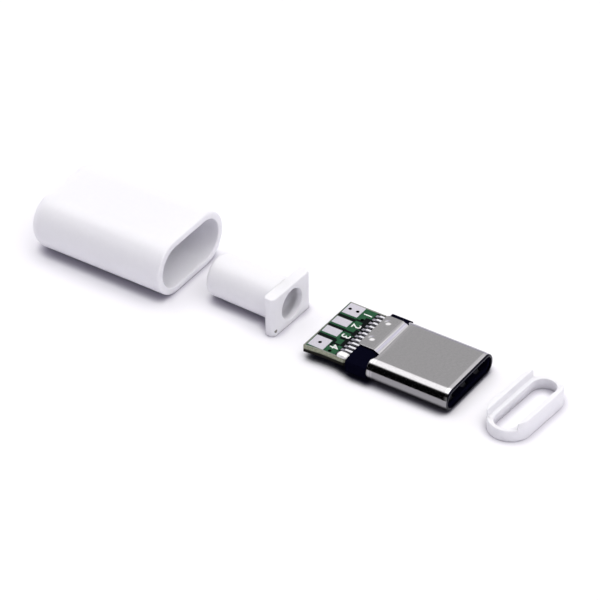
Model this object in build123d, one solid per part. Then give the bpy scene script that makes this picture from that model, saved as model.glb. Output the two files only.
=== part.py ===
from build123d import *
import math
import os

# Small plug kit for a cable end, laid out in line as it comes: outer sleeve, strain relief,
# plug soldered on its board, front ring. All sizes are in millimetres.
# +X is the way the plug is pushed in, +Z is up, and everything lies on Z = 0.
# Plug pieces are drawn about their own mid-plane (Z = 0) with the shell's front edge at X = 0,
# then lifted and moved to their place in the row.

# Plug shell: one drawn stainless cup with a pressed tongue on each side at its rear
shell_width = 8.25
shell_height = 2.4
shell_wall = 0.2
shell_length = 8.55
shell_ear = 0.32
nose_radius = 0.14
nose_length = 0.5
nose_drop = 0.05
nose_thickness = 0.2
nose_lip = 0.12
ramp_length = 1.0
tongue_length = 1.75
tongue_width = 5.15
tongue_offset = 0.88
tongue_jog = 0.6
bump_diameter = 0.9
bump_height = 0.18
bump_spacing = 2.8
bump_shift = 0.2

# Mouth and contacts
mouth_side_wall = 0.455
mouth_height = 0.98
mouth_depth = 6.3
mouth_recess = 0.02
contact_count = 12
contact_width = 0.25
contact_thickness = 0.15
contact_pitch = 0.5
contact_start = 1.6
contact_tip = 0.9
contact_spring = 1.3
contact_dip = 0.2
groove_clearance = 0.035

# Solder tails and circuit board
tail_pitch = 0.6
tail_length = 0.9
board_side = 0.45
board_length = 4.58
board_thickness = 0.8
board_gap = 0.05
break_off = 0.2
break_length = 1.8
plating = 0.02
via_diameter = 0.36

# Wire pads on the board
outer_pad_width = 1.65
inner_pad_width = 1.03
pad_length = 1.72
pad_margin = 0.15
pad_gap = 0.72
via_gap = 0.62

# Latch and shield springs
latch_thickness = 0.2
latch_arm_width = 0.22
latch_hook = 0.25
latch_back = 0.3
shield_thickness = 0.1
shield_length = 1.15
shield_finger_width = 0.8
shield_finger_pitch = 2.3

# Moulded blocks round the contacts
holder_length = 2.28
holder_side = 0.52
holder_wall = 0.18
holder_corner_width = 1.2
holder_corner_drop = 0.2
fit_gap = 0.02

# Sleeve
sleeve_length = 15.7
sleeve_wall = 0.76
sleeve_back = 1.2
sleeve_back_round = 1.3
sleeve_edge_round = 0.2

# Strain relief
relief_room = 0.06
relief_length = 8.8
cable_bore = 3.2
flange_width = 6.1
flange_thickness = 1.2
flange_chamfer = 0.3
relief_end_round = 0.6
relief_slide = 0.1

# Front ring
ring_thickness = 1.3
ring_end_wall = 0.4
ring_side_wall = 0.98
ring_rib = 0.78
ring_rib_wall = 0.52
ring_rib_length = 7.4
ring_clearance = 0.03
slot_clearance = 0.05
slot_seat = 0.1
slot_lip = 0.45

# Lay-out of the four groups in the row
ring_gap = 3.55
relief_gap = 4.05
sleeve_gap = 3.25
ring_turn = -3.8
relief_turn = -1.55
relief_shift = -0.07
ring_shift = 0.12
sleeve_shift = 0.38

# Worked out from the sizes above: contacts first, then what goes round them
strip_low = board_thickness / 2 + plating
strip_mid = strip_low + contact_thickness / 2
strip_high = strip_low + contact_thickness
row_half = (contact_count - 1) * tail_pitch / 2 + contact_width / 2
carrier_half_width = row_half + holder_wall
holder_width = 2 * (carrier_half_width + holder_side)
holder_high = strip_high + holder_wall
tongue_under = holder_high
tongue_top = tongue_under + shell_wall
shell_mid = shell_height / 2
insulator_width = shell_width - 2 * shell_wall - 2 * fit_gap
insulator_height = shell_height - 2 * shell_wall - 2 * fit_gap
insulator_front = nose_thickness + mouth_recess
insulator_rear = insulator_front + mouth_depth
mouth_width = insulator_width - 2 * mouth_side_wall
rear_edge = shell_length + ramp_length + tongue_length
holder_front = shell_length + shell_ear + fit_gap
holder_rear = holder_front + holder_length
board_width = 2 * (row_half + board_side)
board_front = holder_rear + board_gap
board_rear = board_front + board_length
tail_end = holder_rear + tail_length
slot_length = shell_width + 2 * slot_clearance
slot_width = shell_height + 2 * slot_clearance
ring_length = slot_length + 2 * ring_end_wall
ring_width = slot_width + 2 * ring_side_wall
sleeve_bore_width = ring_length + 2 * ring_clearance
sleeve_bore_height = ring_width + 2 * ring_clearance
sleeve_width = sleeve_bore_width + 2 * sleeve_wall
sleeve_height = sleeve_bore_height + 2 * sleeve_wall
relief_diameter = sleeve_bore_height - 2 * relief_room

# Each group's place in the row, measured from the plug's front edge
ring_reach = ring_width / 2 + (ring_length - ring_width) / 2 * math.sin(math.radians(abs(ring_turn)))
ring_x = ring_gap + ring_reach
relief_x = -(board_rear + relief_gap)
sleeve_x = relief_x - relief_length - sleeve_gap
kit_front = ring_x + ring_reach
kit_rear = sleeve_x - sleeve_length
kit_middle = (kit_front + kit_rear) / 2


def along_x(sketch, rear, front, y=0.0, z=0.0):
    """Bar along X with the given YZ section, from rear to front."""
    plane = Plane(origin=(rear, y, z), x_dir=(0, 1, 0), z_dir=(1, 0, 0))
    return extrude(plane * sketch, amount=front - rear)


def across_y(points, y, width):
    """Bar across Y with an XZ outline, centred on y."""
    outline = Polyline(*[(px, y - width / 2, pz) for px, pz in points], close=True)
    return extrude(make_face(outline), amount=width, dir=(0, 1, 0))


def strip(path, thickness, y, width):
    """Bent sheet strip whose centre line is an XZ path."""
    upper = [(px, pz + thickness / 2) for px, pz in path]
    lower = [(px, pz - thickness / 2) for px, pz in reversed(path)]
    return across_y(upper + lower, y, width)


def half_turn(shape):
    """The same piece on the plug's other side: the plug is alike after half a turn about X."""
    return Rot(180, 0, 0) * shape


def row_y(index, pitch):
    """Place across the plug of one contact in its row."""
    return (index - (contact_count - 1) / 2) * pitch


def make_tongue():
    """Ramp and flat tongue pressed down from the shell's top, set over to one side, with two bumps."""
    top = shell_height / 2
    end = -rear_edge
    foot = -(shell_length + ramp_length)
    outline = [(-shell_length, top), (foot, tongue_top), (end, tongue_top),
               (end, tongue_under), (foot, tongue_under), (-shell_length, top - shell_wall)]
    bar = across_y(outline, tongue_offset - tongue_jog / 2, tongue_width + tongue_jog)
    far = tongue_offset + tongue_width / 2
    near = tongue_offset - tongue_width / 2
    plan = Polyline((-shell_length, far - tongue_jog), (foot, far), (end, far),
                    (end, near), (foot, near), (-shell_length, near - tongue_jog), close=True)
    tongue = bar & extrude(make_face(plan), amount=shell_height)
    corners = tongue.edges().filter_by(Axis.Z).group_by(Axis.X)[0]
    tongue = fillet(corners, tongue_length / 6)
    radius = (bump_diameter ** 2 / 4 + bump_height ** 2) / (2 * bump_height)
    middle = -(shell_length + ramp_length + tongue_length * 0.62)
    for side in (-1, 1):
        place = tongue_offset + bump_shift + side * bump_spacing / 2
        ball = Pos(middle, place, tongue_top + bump_height - radius) * Sphere(radius)
        slab = Pos(middle, place, tongue_top - shell_wall / 2 + bump_height) * Box(
            2 * bump_diameter, 2 * bump_diameter, shell_wall + 2 * bump_height)
        tongue += ball & slab
    return tongue


def make_plug_shell():
    """Drawn cup with a tapered nose, an ear on each side at the rear, and a tongue above and below."""
    rear = -(shell_length + shell_ear)
    section = SlotOverall(shell_width, shell_height)
    body = along_x(section, rear, -nose_length)
    shoulder = Plane(origin=(-nose_length, 0, 0), x_dir=(0, 1, 0), z_dir=(1, 0, 0))
    body += extrude(shoulder * section, amount=nose_length,
                    taper=math.degrees(math.atan(nose_drop / nose_length)))
    body = fillet(body.edges().group_by(Axis.X)[-1], nose_radius)
    inside = 2 * shell_wall
    body -= along_x(SlotOverall(shell_width - inside, shell_height - inside), rear, -nose_thickness)
    root = tongue_width / 2 + abs(tongue_offset - tongue_jog)
    between = Polyline((-shell_length, -root), (-shell_length, root), (rear, root + 1.5 * shell_ear),
                       (rear, -root - 1.5 * shell_ear), close=True)
    body -= extrude(make_face(between), amount=shell_height, both=True)
    inside += 2 * nose_lip
    body -= along_x(SlotOverall(shell_width - inside, shell_height - inside), -nose_thickness, 0)
    tongue = make_tongue()
    return body + tongue + half_turn(tongue)


def make_front_insulator():
    """Black block that lines the mouth, with a groove for each contact and latch arm."""
    block = along_x(SlotOverall(insulator_width, insulator_height), -insulator_rear, -insulator_front)
    mouth = RectangleRounded(mouth_width, mouth_height, mouth_height * 0.3)
    block -= along_x(mouth, -insulator_rear, -insulator_front)
    groove_high = strip_high + groove_clearance
    groove = Rectangle(contact_width + 2 * groove_clearance, 2 * groove_high)
    for index in range(contact_count):
        block -= along_x(groove, -insulator_rear, -contact_start + groove_clearance,
                         y=row_y(index, contact_pitch))
    arm_slot = Rectangle(mouth_width + 2 * (latch_arm_width + 3 * groove_clearance),
                         latch_thickness + 2 * groove_clearance)
    block -= along_x(arm_slot, -insulator_rear, -latch_front() + groove_clearance)
    for side in (1, -1):
        block -= shield_room(side)
    return block


def shield_path():
    """Centre line of a shield finger, from its seat down into the mouth."""
    seat = insulator_height / 2 - shield_thickness
    low = mouth_height / 2 - shield_thickness
    start = -insulator_front - shield_length * 0.25
    return [(start, seat), (start - shield_length * 0.2, (seat + low) / 2),
            (start - shield_length * 0.45, low), (start - shield_length * 0.7, low + shield_thickness / 2)]


def shield_room(side):
    """Pocket on the insulator's back and a window for each shield finger."""
    depth = 2 * shield_thickness
    width = 2 * shield_finger_pitch + shield_finger_width
    middle = -insulator_front - shield_length * 0.7
    top = insulator_height / 2
    pocket = Pos(middle, 0, side * (top - depth / 2)) * Box(
        shield_length, width + 2 * groove_clearance, depth)
    for place in (-1, 0, 1):
        window = Pos(middle, place * shield_finger_pitch, side * top / 2) * Box(
            shield_length, shield_finger_width + 2 * groove_clearance, top)
        pocket += window
    return pocket


def make_shield_spring():
    """Strip above the mouth whose three fingers press on the mating part."""
    width = 2 * shield_finger_pitch + shield_finger_width
    seat = insulator_height / 2 - shield_thickness
    start = -insulator_front - shield_length * 0.25
    spring = Pos(start - shield_thickness / 2, 0, seat) * Box(shield_thickness, width, shield_thickness)
    for place in (-1, 0, 1):
        spring += strip(shield_path(), shield_thickness, place * shield_finger_pitch, shield_finger_width)
    return spring


def latch_front():
    """How far behind the nose the latch hooks begin."""
    return contact_start + latch_back


def make_latch():
    """One flat spring: a mid plate between the rows and two arms with hooks."""
    arm_in = mouth_width / 2 + groove_clearance
    arm_out = arm_in + latch_arm_width
    front = -latch_front()
    root = -insulator_rear
    hook_in = mouth_width / 2 - latch_hook
    plate = -(holder_rear - holder_wall)
    neck = arm_in - latch_arm_width
    behind = carrier_half_width - 2 * holder_wall
    half = [(plate, 0), (plate, behind), (-shell_length, behind), (-shell_length, neck),
            (root - 3 * latch_back, neck), (root - 3 * latch_back, arm_out),
            (front, arm_out), (front, arm_in), (front - latch_hook / 2, hook_in),
            (front - 2 * latch_hook, hook_in), (front - 4 * latch_hook, arm_in),
            (root - latch_back, arm_in), (root - latch_back, 0)]
    whole = half + [(px, -py) for px, py in reversed(half[1:-1])]
    outline = Polyline(*[(px, py, -latch_thickness / 2) for px, py in whole], close=True)
    return extrude(make_face(outline), amount=latch_thickness, dir=(0, 0, 1))


def make_contact(index):
    """One contact of the upper row: sprung beam, step out to the wider tail pitch, solder tail."""
    mate_y = row_y(index, contact_pitch)
    tail_y = row_y(index, tail_pitch)
    low = strip_mid - contact_dip
    front = -contact_start
    beam_end = -(shell_length + fit_gap)
    path = [(front, low + contact_dip * 0.6), (front - contact_tip * 0.28, low + contact_dip * 0.15),
            (front - contact_tip * 0.55, low), (front - contact_tip, low + contact_dip * 0.3),
            (front - contact_tip - contact_spring, strip_mid), (beam_end, strip_mid)]
    beam = strip(path, contact_thickness, mate_y, contact_width)
    half = contact_width / 2
    out = -(holder_rear - 2 * holder_wall)
    plan = [(beam_end, mate_y - half), (out, tail_y - half), (-tail_end, tail_y - half),
            (-tail_end, tail_y + half), (out, tail_y + half), (beam_end, mate_y + half)]
    outline = Polyline(*[(px, py, strip_low) for px, py in plan], close=True)
    return beam + extrude(make_face(outline), amount=contact_thickness, dir=(0, 0, 1))


def make_carrier(contacts, latch):
    """Upper half of the block that the contacts are moulded into."""
    inside = along_x(SlotOverall(insulator_width, insulator_height), -shell_length, -insulator_rear)
    above = Pos(-shell_length / 2, 0, shell_mid / 2) * Box(2 * shell_length, shell_width, shell_mid)
    inside = inside & above
    rear_section = Rectangle(2 * carrier_half_width, strip_high)
    carrier = inside + along_x(rear_section, -holder_rear, -shell_length, z=strip_high / 2)
    for contact in contacts:
        carrier -= contact
    return carrier - latch


def holder_outline():
    """Holder section: one upper corner sloped away, and the opposite lower one."""
    wide = holder_width / 2
    high = holder_high
    flat = wide - holder_corner_width
    low = high - holder_corner_drop
    return Polygon((wide, high), (-flat, high), (-wide, low), (-wide, -high), (flat, -high), (wide, -low),
                   align=None)


def make_rear_holder():
    """Block with side lugs behind the shell, with a tunnel for the contact carriers."""
    block = along_x(holder_outline(), -holder_rear, -holder_front)
    block = fillet(block.edges().filter_by(Axis.X), holder_corner_drop / 2)
    tunnel = Rectangle(2 * carrier_half_width, 2 * strip_high)
    return block - along_x(tunnel, -holder_rear, -holder_front)


def pad_places():
    """Middle and width of each wire pad across the board."""
    edge = board_width / 2 - pad_margin
    outer = edge - outer_pad_width / 2
    inner = edge - outer_pad_width - pad_gap - inner_pad_width / 2
    return [(outer, outer_pad_width), (inner, inner_pad_width),
            (-inner, inner_pad_width), (-outer, outer_pad_width)]


def via_places():
    """Plated holes: two in the first wire pad, one in the last, two beside the contact row."""
    pad_x = -(board_rear - pad_margin - pad_length / 2)
    outer = pad_places()[0][0]
    free_x = -(board_rear - pad_margin - pad_length - via_gap)
    return [(pad_x - pad_length / 4, outer), (pad_x + pad_length / 4, outer), (pad_x, -outer),
            (free_x, outer - outer_pad_width / 2), (free_x, -board_width / 2 + 0.4)]


def via_pins(height):
    """Pins that cut the plated holes."""
    return [Pos(px, py, 0) * Cylinder(via_diameter / 2, height) for px, py in via_places()]


def make_board():
    """Circuit board with its front corners cut, one rear corner left proud where it was broken off, and its plated holes."""
    side = board_width / 2
    outline = Polyline((-board_front, side), (-board_rear, side),
                       (-board_rear - break_off / 2, -side - break_off),
                       (-board_rear + break_length, -side), (-board_front, -side), close=True)
    board = extrude(make_face(outline), amount=board_thickness / 2, both=True)
    board = chamfer(board.edges().filter_by(Axis.Z).group_by(Axis.X)[-1], 0.35)
    for pin in via_pins(2 * board_thickness):
        board -= pin
    return board


def make_wire_pad(index):
    """One tinned pad at the board's rear edge."""
    middle_y, width = pad_places()[index]
    middle_x = -(board_rear - pad_margin - pad_length / 2)
    pad = Pos(middle_x, middle_y, (board_thickness + plating) / 2) * Box(pad_length, width, plating)
    for pin in via_pins(2 * board_thickness):
        pad -= pin
    return pad


def make_tail_pads():
    """Row of pads that the upper tails are soldered to."""
    front = -(board_front + 0.1)
    rear = -(tail_end + 0.45)
    pads = []
    for index in range(contact_count):
        pads.append(Pos((front + rear) / 2, row_y(index, tail_pitch), (board_thickness + plating) / 2) * Box(
            front - rear, tail_pitch * 0.5, plating))
    return Compound(children=pads)


def make_tail_solder(index):
    """Solder fillet behind one tail."""
    foot = -(tail_end + 0.3)
    outline = [(-tail_end, strip_low), (-tail_end, strip_high - 0.02), (-tail_end - 0.1, strip_low + 0.06),
               (foot, strip_low)]
    return across_y(outline, row_y(index, tail_pitch), tail_pitch * 0.42)


def make_ground_solder(contact):
    """Large solder joint that covers the last tail."""
    width = tail_pitch * 1.15
    length = tail_length * 0.85
    joint = Pos(-(tail_end - length / 2 + 0.1), row_y(0, tail_pitch) - 0.03, strip_low + 0.14) * Box(
        length, width, 0.28)
    joint = chamfer(joint.edges().filter_by(Axis.Z), width * 0.2)
    joint = chamfer(joint.edges().group_by(Axis.Z)[-1], contact_thickness)
    return joint - contact


def make_resistor():
    """Chip resistor under the board."""
    middle = -(board_rear - pad_margin - pad_length - 0.5)
    height = 0.35
    return Pos(middle, 0, -(board_thickness / 2 + plating + height / 2)) * Box(0.5, 1.0, height)


def make_resistor_pads():
    """Two pads under the board that the resistor is soldered to."""
    middle = -(board_rear - pad_margin - pad_length - 0.5)
    pads = []
    for side in (-1, 1):
        pads.append(Pos(middle, side * 0.48, -(board_thickness + plating) / 2) * Box(0.6, 0.45, plating))
    return Compound(children=pads)


def make_sleeve():
    """Oval tube, closed at the rear but for the strain relief's hole."""
    body = along_x(SlotOverall(sleeve_width, sleeve_height), -sleeve_length, 0)
    body = fillet(body.edges().group_by(Axis.X)[0], sleeve_back_round)
    body = chamfer(body.edges().group_by(Axis.X)[-1], sleeve_edge_round * 0.6)
    bore = SlotOverall(sleeve_bore_width, sleeve_bore_height)
    body -= along_x(bore, -sleeve_length + sleeve_back, 0)
    hole = Circle(relief_diameter / 2 + relief_slide)
    return body - along_x(hole, -sleeve_length, -sleeve_length + sleeve_back)


def make_strain_relief():
    """Round tube with a flat flange at its front, drawn with the flange's face at X = 0."""
    tube = along_x(Circle(relief_diameter / 2), -relief_length, 0)
    tube = fillet(tube.edges().group_by(Axis.X)[0], relief_end_round)
    flange = Pos(-flange_thickness / 2, 0, 0) * Box(flange_thickness, flange_width, relief_diameter)
    flange = chamfer(flange.edges().filter_by(Axis.Z), flange_chamfer)
    body = tube + flange
    body -= along_x(Circle(cable_bore / 2), -relief_length, 0)
    gate = Pos(0, -flange_width / 2 + flange_chamfer + 0.35, -relief_diameter / 2 + 0.3)
    return body - gate * Box(0.3, 0.5, 0.22)


def make_front_ring():
    """Flat oval ring with a slot for the shell and a rib along each straight side."""
    outline = SlotOverall(ring_length, ring_width, rotation=90)
    slot = SlotOverall(slot_length, slot_width, rotation=90)
    seat = SlotOverall(slot_length + 2 * slot_seat, slot_width + 2 * slot_seat, rotation=90)
    height = ring_thickness + ring_rib
    body = extrude(outline, amount=height)
    body = chamfer(body.edges().group_by(Axis.Z)[0], sleeve_edge_round * 0.6)
    between = Pos(0, 0, ring_thickness + ring_rib) * Box(
        ring_width - 2 * ring_rib_wall, 2 * ring_length, 2 * ring_rib)
    body -= between
    for side in (-1, 1):
        end = Box(ring_width, ring_length, 2 * ring_rib)
        body -= Pos(0, side * (ring_rib_length + ring_length) / 2, height) * end
    body -= extrude(slot, amount=height)
    return body - extrude(seat, amount=slot_lip)


def lay_plug(shape):
    """Lift a plug piece so that the shell lies on the table, and move it to its place."""
    return Pos(-kit_middle, -sleeve_shift, shell_mid) * shape


def write(name, shape):
    """Write one piece as a STEP file named after its node."""
    export_step(shape, "parts/" + name + ".step")


os.makedirs("parts", exist_ok=True)

upper_contacts = [make_contact(index) for index in range(contact_count)]
latch = make_latch()
upper_carrier = make_carrier(upper_contacts, latch)
shield_spring = make_shield_spring()
tail_pads = make_tail_pads()
tail_solder = Compound(children=[make_tail_solder(index) for index in range(1, contact_count)])

plug_pieces = {
    "plug_shell": make_plug_shell(),
    "front_insulator": make_front_insulator(),
    "rear_holder": make_rear_holder(),
    "top_contact_carrier": upper_carrier,
    "bottom_contact_carrier": half_turn(upper_carrier),
    "latch_spring": latch,
    "shield_spring_top": shield_spring,
    "shield_spring_bottom": half_turn(shield_spring),
    "circuit_board": make_board(),
    "tail_pads_top": tail_pads,
    "tail_pads_bottom": half_turn(tail_pads),
    "tail_solder_top": tail_solder,
    "tail_solder_bottom": half_turn(tail_solder),
    "ground_solder_top": make_ground_solder(upper_contacts[0]),
    "ground_solder_bottom": half_turn(make_ground_solder(upper_contacts[0])),
    "chip_resistor": make_resistor(),
    "resistor_pads": make_resistor_pads(),
}
for index, contact in enumerate(upper_contacts):
    plug_pieces["contact_a" + str(index + 1)] = contact
    plug_pieces["contact_b" + str(index + 1)] = half_turn(contact)
for index in range(len(pad_places())):
    plug_pieces["wire_pad_" + str(index + 1)] = make_wire_pad(index)

for name, piece in plug_pieces.items():
    write(name, lay_plug(piece))

sleeve_place = Pos(sleeve_x - kit_middle, 0, sleeve_height / 2)
write("sleeve", sleeve_place * make_sleeve())

relief_place = Pos(relief_x - kit_middle, relief_shift - sleeve_shift, relief_diameter / 2)
write("strain_relief", relief_place * Rot(0, 0, relief_turn) * make_strain_relief())

ring_place = Pos(ring_x - kit_middle, ring_shift - sleeve_shift, 0)
write("front_ring", ring_place * Rot(0, 0, ring_turn) * make_front_ring())
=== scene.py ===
# %% [markdown]
# # A small plug kit on a white table
# The CAD frame already holds every piece at its true size and place. This lesson keeps the
# flat-sided pieces of the frame and gives them finishes, and it makes new smooth surfaces for the
# rounded ones, because light shows every facet on gloss plastic and on steel.

import math

import bpy
import numpy as np
from mathutils import Matrix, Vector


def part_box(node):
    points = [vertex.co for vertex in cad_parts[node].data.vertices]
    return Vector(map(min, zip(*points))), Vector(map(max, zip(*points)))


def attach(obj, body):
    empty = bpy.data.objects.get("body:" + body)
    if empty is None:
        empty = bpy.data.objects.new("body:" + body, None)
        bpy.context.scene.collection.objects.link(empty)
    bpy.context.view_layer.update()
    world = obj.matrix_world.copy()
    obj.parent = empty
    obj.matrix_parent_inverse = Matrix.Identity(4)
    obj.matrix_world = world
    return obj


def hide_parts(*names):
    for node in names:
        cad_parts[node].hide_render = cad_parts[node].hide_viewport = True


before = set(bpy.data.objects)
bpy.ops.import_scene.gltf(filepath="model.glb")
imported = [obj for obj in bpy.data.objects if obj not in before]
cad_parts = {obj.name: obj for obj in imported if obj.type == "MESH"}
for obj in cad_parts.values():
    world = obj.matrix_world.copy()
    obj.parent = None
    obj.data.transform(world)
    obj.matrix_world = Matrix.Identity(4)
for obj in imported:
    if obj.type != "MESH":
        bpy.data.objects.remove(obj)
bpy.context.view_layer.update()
MM = 0.001
print("nodes", len(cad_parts))

# %% [markdown]
# ## Where the groups stand
# All places come from the frame's own boxes, so a new piece lies exactly where its solid is.
# The plug's own zero is the middle of its nose, and its mid-plane is half the shell's height up.

# %% Read the places of the four groups
def corners_mm(node):
    """Lowest and highest corner of a node, in millimetres."""
    low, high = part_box(node)
    return np.array(low) / MM, np.array(high) / MM


shell_low, shell_high = corners_mm("plug_shell")
plug_zero = np.array([shell_high[0], (shell_low[1] + shell_high[1]) / 2, (shell_low[2] + shell_high[2]) / 2])
sleeve_low, sleeve_high = corners_mm("sleeve")
ring_low, ring_high = corners_mm("front_ring")
relief_low, relief_high = corners_mm("strain_relief")
board_low, board_high = corners_mm("circuit_board")
print("plug zero", plug_zero, "sleeve", sleeve_low, sleeve_high)

# %% [markdown]
# ## The camera
# The photograph was taken with a long lens from the plug's near front corner.

# %% Place the camera
FOCAL_PX, PICTURE_PX, SENSOR_MM = 3719.35, 600.0, 36.0
AZIMUTH, ELEVATION, ROLL = np.radians([34.7796, 37.5381, -1.2446])
AIM_PX = np.array([169.85, 92.694])
DISTANCE = 345.683


def camera_axes():
    """Rows: right, down and forward of the camera. Azimuth turns about Z, elevation tips down, and roll
    turns the picture."""
    right = np.array([math.cos(AZIMUTH), math.sin(AZIMUTH), 0.0])
    ahead = np.array([-math.sin(AZIMUTH) * math.cos(ELEVATION), math.cos(AZIMUTH) * math.cos(ELEVATION),
                      -math.sin(ELEVATION)])
    down = np.cross(ahead, right)
    c, s = math.cos(ROLL), math.sin(ROLL)
    return np.array([c * right - s * down, s * right + c * down, ahead])


def place_camera():
    """Camera whose picture is PICTURE_PX wide, looking at the fitted place."""
    axes = camera_axes()
    offset = np.array([AIM_PX[0] * DISTANCE / FOCAL_PX, AIM_PX[1] * DISTANCE / FOCAL_PX, DISTANCE])
    zero = np.array([plug_zero[0], plug_zero[1], 0.0])
    eye = zero - axes.T @ offset
    data = bpy.data.cameras.new("camera")
    data.sensor_width = SENSOR_MM
    data.lens = FOCAL_PX * SENSOR_MM / PICTURE_PX
    data.clip_start, data.clip_end = 0.01, 20.0
    camera = bpy.data.objects.new("camera", data)
    bpy.context.scene.collection.objects.link(camera)
    world = np.eye(4)
    world[:3, 0], world[:3, 1], world[:3, 2] = axes[0], -axes[1], -axes[2]
    world[:3, 3] = eye * MM
    camera.matrix_world = Matrix(world.tolist())
    bpy.context.scene.camera = camera
    print("camera at", eye.round(2))


place_camera()
bpy.context.scene.view_settings.view_transform = "Standard"

# %% [markdown]
# ## The table and the light
# The photograph is a bright studio picture: a white table, one wide soft light overhead, a pale
# room, and something black on the near side that the steel shows as a black stripe. A world whose
# strength depends on the direction gives all of them. The table adds a little white for the camera
# and for reflections, so it reads as white and keeps its shadows.

# %% Helpers for node graphs
def add(tree, kind, **inputs):
    """One shader node with values set on its inputs by name."""
    node = tree.nodes.new(kind)
    for name, value in inputs.items():
        node.inputs[name.replace("_", " ")].default_value = value
    return node


def calc(tree, operation, a, b=None, clamp=False):
    """One Math node; a and b are sockets or plain numbers."""
    node = tree.nodes.new("ShaderNodeMath")
    node.operation = operation
    node.use_clamp = clamp
    for i, value in enumerate([a] if b is None else [a, b]):
        if isinstance(value, (int, float)):
            node.inputs[i].default_value = value
        else:
            tree.links.new(value, node.inputs[i])
    return node.outputs[0]


def product(tree, first, *others):
    """First multiplied by each of the others."""
    for factor in others:
        first = calc(tree, "MULTIPLY", first, factor)
    return first


def ramp(tree, value, low, high, out_low=0.0, out_high=1.0):
    """Value from low to high, changed smoothly to out_low and out_high."""
    node = tree.nodes.new("ShaderNodeMapRange")
    node.interpolation_type = "SMOOTHSTEP"
    tree.links.new(value, node.inputs["Value"])
    for name, number in zip(("From Min", "From Max", "To Min", "To Max"), (low, high, out_low, out_high)):
        node.inputs[name].default_value = number
    return node.outputs["Result"]


def blend_colours(tree, factor, first, second):
    """Mix of two colours, which are sockets or plain colours."""
    node = tree.nodes.new("ShaderNodeMix")
    node.data_type = "RGBA"
    tree.links.new(factor, node.inputs[0])
    for socket, value in ((node.inputs[6], first), (node.inputs[7], second)):
        if isinstance(value, tuple):
            socket.default_value = (*value, 1.0)
        else:
            tree.links.new(value, socket)
    return node.outputs[2]


# %% Helpers for places and rays
def coordinates(tree, kind="Object"):
    """Texture coordinates of one kind, as a vector."""
    return tree.nodes.new("ShaderNodeTexCoord").outputs[kind]


def parts_of(tree, vector):
    """X, Y and Z of a vector."""
    split = tree.nodes.new("ShaderNodeSeparateXYZ")
    tree.links.new(vector, split.inputs[0])
    return tuple(split.outputs[axis] for axis in "XYZ")


def seen_rays(tree):
    """1 for camera, mirror and glass rays, and 0 for the others."""
    rays = tree.nodes.new("ShaderNodeLightPath")
    seen = calc(tree, "ADD", rays.outputs["Is Camera Ray"], rays.outputs["Is Glossy Ray"], clamp=True)
    return calc(tree, "ADD", seen, rays.outputs["Is Transmission Ray"], clamp=True)


# %% Light the studio
OVERHEAD, NEAR_SIDE, FRONT_FILL, ROOM = 2.55, 0.5, 0.7, 0.85
LOW_BAND, REAR_LAMP, SIDE_CARD = 0.72, 0.85, 0.42
REAR_AZIMUTH = math.radians(160)
SKY_TINT, LOW_TINT = (1.0, 0.99, 0.985), (0.88, 0.86, 1.0)


def sky_parts(tree):
    """Pairs of a mask and a level, and the mask of the low band. In the masks, z is the sine of the height and
    y points away from the near side. Camera, mirror and glass rays see a pale ROOM in between, black on the
    near side, and a grey SIDE_CARD low there, ahead of the plug."""
    x, y, z = parts_of(tree, coordinates(tree, "Generated"))
    seen = seen_rays(tree)
    unseen = calc(tree, "SUBTRACT", 1.0, seen)
    far_side = ramp(tree, y, -0.42, -0.18)
    high = ramp(tree, z, 0.70, 0.82)
    cap = product(tree, high, far_side)
    near_cap = product(tree, calc(tree, "SUBTRACT", high, cap), unseen)
    low = product(tree, ramp(tree, z, 0.26, 0.36, 1.0, 0.0), calc(tree, "MAXIMUM", far_side, unseen))
    front = product(tree, ramp(tree, x, 0.3, 0.6), calc(tree, "GREATER_THAN", z, 0.3), unseen)
    between = calc(tree, "SUBTRACT", 1.0, calc(tree, "ADD", cap, low), clamp=True)
    between = product(tree, between, far_side, seen)
    behind = calc(tree, "ADD", calc(tree, "MULTIPLY", x, math.cos(REAR_AZIMUTH)),
                  calc(tree, "MULTIPLY", y, math.sin(REAR_AZIMUTH)))
    lamp = product(tree, ramp(tree, z, 0.48, 0.60, 1.0, 0.0), ramp(tree, behind, 0.64, 0.88))
    card = product(tree, ramp(tree, x, -0.25, -0.1), ramp(tree, x, 0.7, 0.85, 1.0, 0.0),
                   ramp(tree, z, 0.5, 0.65, 1.0, 0.0), calc(tree, "SUBTRACT", 1.0, far_side), seen)
    pairs = [(cap, OVERHEAD), (near_cap, NEAR_SIDE), (front, FRONT_FILL), (between, ROOM), (low, LOW_BAND),
             (lamp, REAR_LAMP), (card, SIDE_CARD)]
    return pairs, low


def light_studio():
    """The world's strength is the sum of its parts, and its low band is a little bluer than the rest."""
    world = bpy.data.worlds.new("studio")
    bpy.context.scene.world = world
    world.use_nodes = True
    tree = world.node_tree
    tree.nodes.clear()
    pairs, low = sky_parts(tree)
    total = None
    for mask, level in pairs:
        part = calc(tree, "MULTIPLY", mask, level)
        total = part if total is None else calc(tree, "ADD", total, part)
    sky = tree.nodes.new("ShaderNodeBackground")
    tree.links.new(blend_colours(tree, low, SKY_TINT, LOW_TINT), sky.inputs["Color"])
    tree.links.new(total, sky.inputs["Strength"])
    out = tree.nodes.new("ShaderNodeOutputWorld")
    tree.links.new(sky.outputs[0], out.inputs[0])
    print("world of", len(pairs), "parts")


light_studio()

# %% Lay the table
TABLE_GLOW, SHADE_REACH, TABLE_HALF = 0.10, 1.3 * MM, 3.0
TABLE_WHITE, TABLE_SHADE = (0.86, 0.85, 0.89), (0.52, 0.50, 0.57)
SHADE_ZONES = [  # x from, x to in plug millimetres, colour of the shade there, power that deepens it
    (-18.0, 2.0, (0.21, 0.20, 0.25), 0.0), (-17.5, -8.0, (0.02, 0.02, 0.04), 1.6),
    (2.0, 14.0, (0.66, 0.64, 0.70), 0.0)]


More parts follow.
